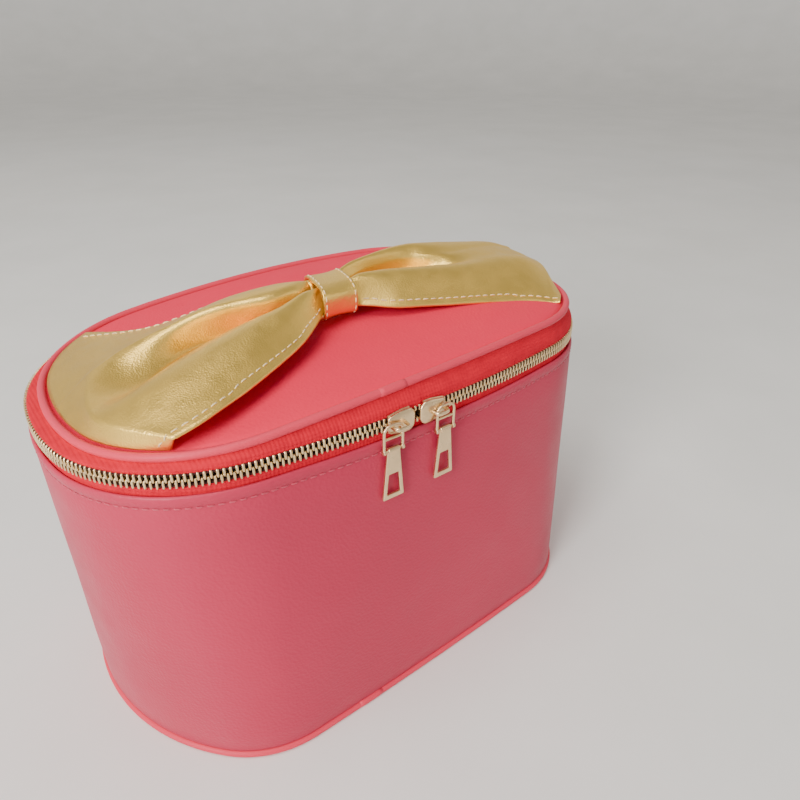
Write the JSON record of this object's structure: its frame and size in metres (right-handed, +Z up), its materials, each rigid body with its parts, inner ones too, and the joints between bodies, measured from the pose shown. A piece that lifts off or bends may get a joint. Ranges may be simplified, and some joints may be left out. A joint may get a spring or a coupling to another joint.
{
  "type": "makeup train case",
  "caption": "Oval zip-round makeup train case in rose faux leather with a hinged lid, a gold bow handle and metal zip pulls.",
  "frame": {"origin": "centre of the flat base, on the surface the case stands on", "axes": "+X along the case's length towards its right end, +Y to the hinge at the back, +Z up; the zip pulls are on the -Y side"},
  "size_m": [0.2548, 0.1662, 0.1735],
  "materials": {
    "rose_leather": "fine pebbled coral-rose faux leather, satin",
    "gold_leather": "metallic pale gold faux leather, fine grain, glossy",
    "zip_tape": "woven crimson polyester zip tape with fine ribs",
    "zip_metal": "polished pale champagne-gold plated metal",
    "lining": "woven polyester lining",
    "board": "stiff polyethylene board, matt"
  },
  "bodies": {
    "case": {"base_panel": "rose_leather", "base_board": "board", "base_lining": "lining", "base_piping": "rose_leather", "body_wall": "rose_leather", "wall_stiffener": "board", "wall_lining": "lining", "hinge_strip": "rose_leather", "zip_tape_lower": "zip_tape", "zip_teeth_lower": "zip_metal", "zip_end_stops": "zip_metal"},
    "lid": {"zip_tape_upper": "zip_tape", "zip_teeth_upper": "zip_metal", "lid_piping": "rose_leather", "lid_panel": "rose_leather", "lid_board": "board", "lid_lining": "lining", "bow_wing_left": "gold_leather", "bow_wing_right": "gold_leather", "bow_gather": "gold_leather", "bow_knot_band": "gold_leather"},
    "slider_left": {"slider_left": "zip_metal"},
    "bail_left": {"bail_left": "zip_metal", "pull_pin_left": "zip_metal"},
    "tab_left": {"tab_left": "zip_metal"},
    "slider_right": {"slider_right": "zip_metal"},
    "bail_right": {"bail_right": "zip_metal", "pull_pin_right": "zip_metal"},
    "tab_right": {"tab_right": "zip_metal"}
  },
  "joints": [
    {"name": "lid_hinge", "type": "hinge", "parent": "case", "child": "lid", "pos_m": [0, 0.0766, 0.1375], "axis": [-1, 0, 0], "range_deg": [0, 100], "deforming": ["hinge_strip", "zip_teeth_upper", "zip_teeth_lower"]},
    {"name": "slider_left_travel", "type": "hinge", "parent": "case", "child": "slider_left", "pos_m": [0, 0.41425, 0.1389], "axis": [0, 0, -1], "range_deg": [0, 5]},
    {"name": "bail_left_tilt", "type": "hinge", "parent": "slider_left", "child": "bail_left", "pos_m": [-0.02436, -0.07933, 0.14045], "axis": [-0.9992, 0.0392, 0], "range_deg": [0, 28]},
    {"name": "tab_left_swing", "type": "hinge", "parent": "bail_left", "child": "tab_left", "pos_m": [-0.02436, -0.07933, 0.12985], "axis": [-0.9992, 0.0392, 0], "range_deg": [0, 140]},
    {"name": "slider_right_travel", "type": "hinge", "parent": "case", "child": "slider_right", "pos_m": [0, 0.41425, 0.1389], "axis": [0, 0, 1], "range_deg": [0, 7.8]},
    {"name": "bail_right_tilt", "type": "hinge", "parent": "slider_right", "child": "bail_right", "pos_m": [0.00016, -0.07992, 0.14045], "axis": [-1, 0.0098, 0], "range_deg": [0, 28]},
    {"name": "tab_right_swing", "type": "hinge", "parent": "bail_right", "child": "tab_right", "pos_m": [0.00016, -0.07992, 0.12985], "axis": [-1, 0.0098, 0], "range_deg": [0, 140]}
  ]
}
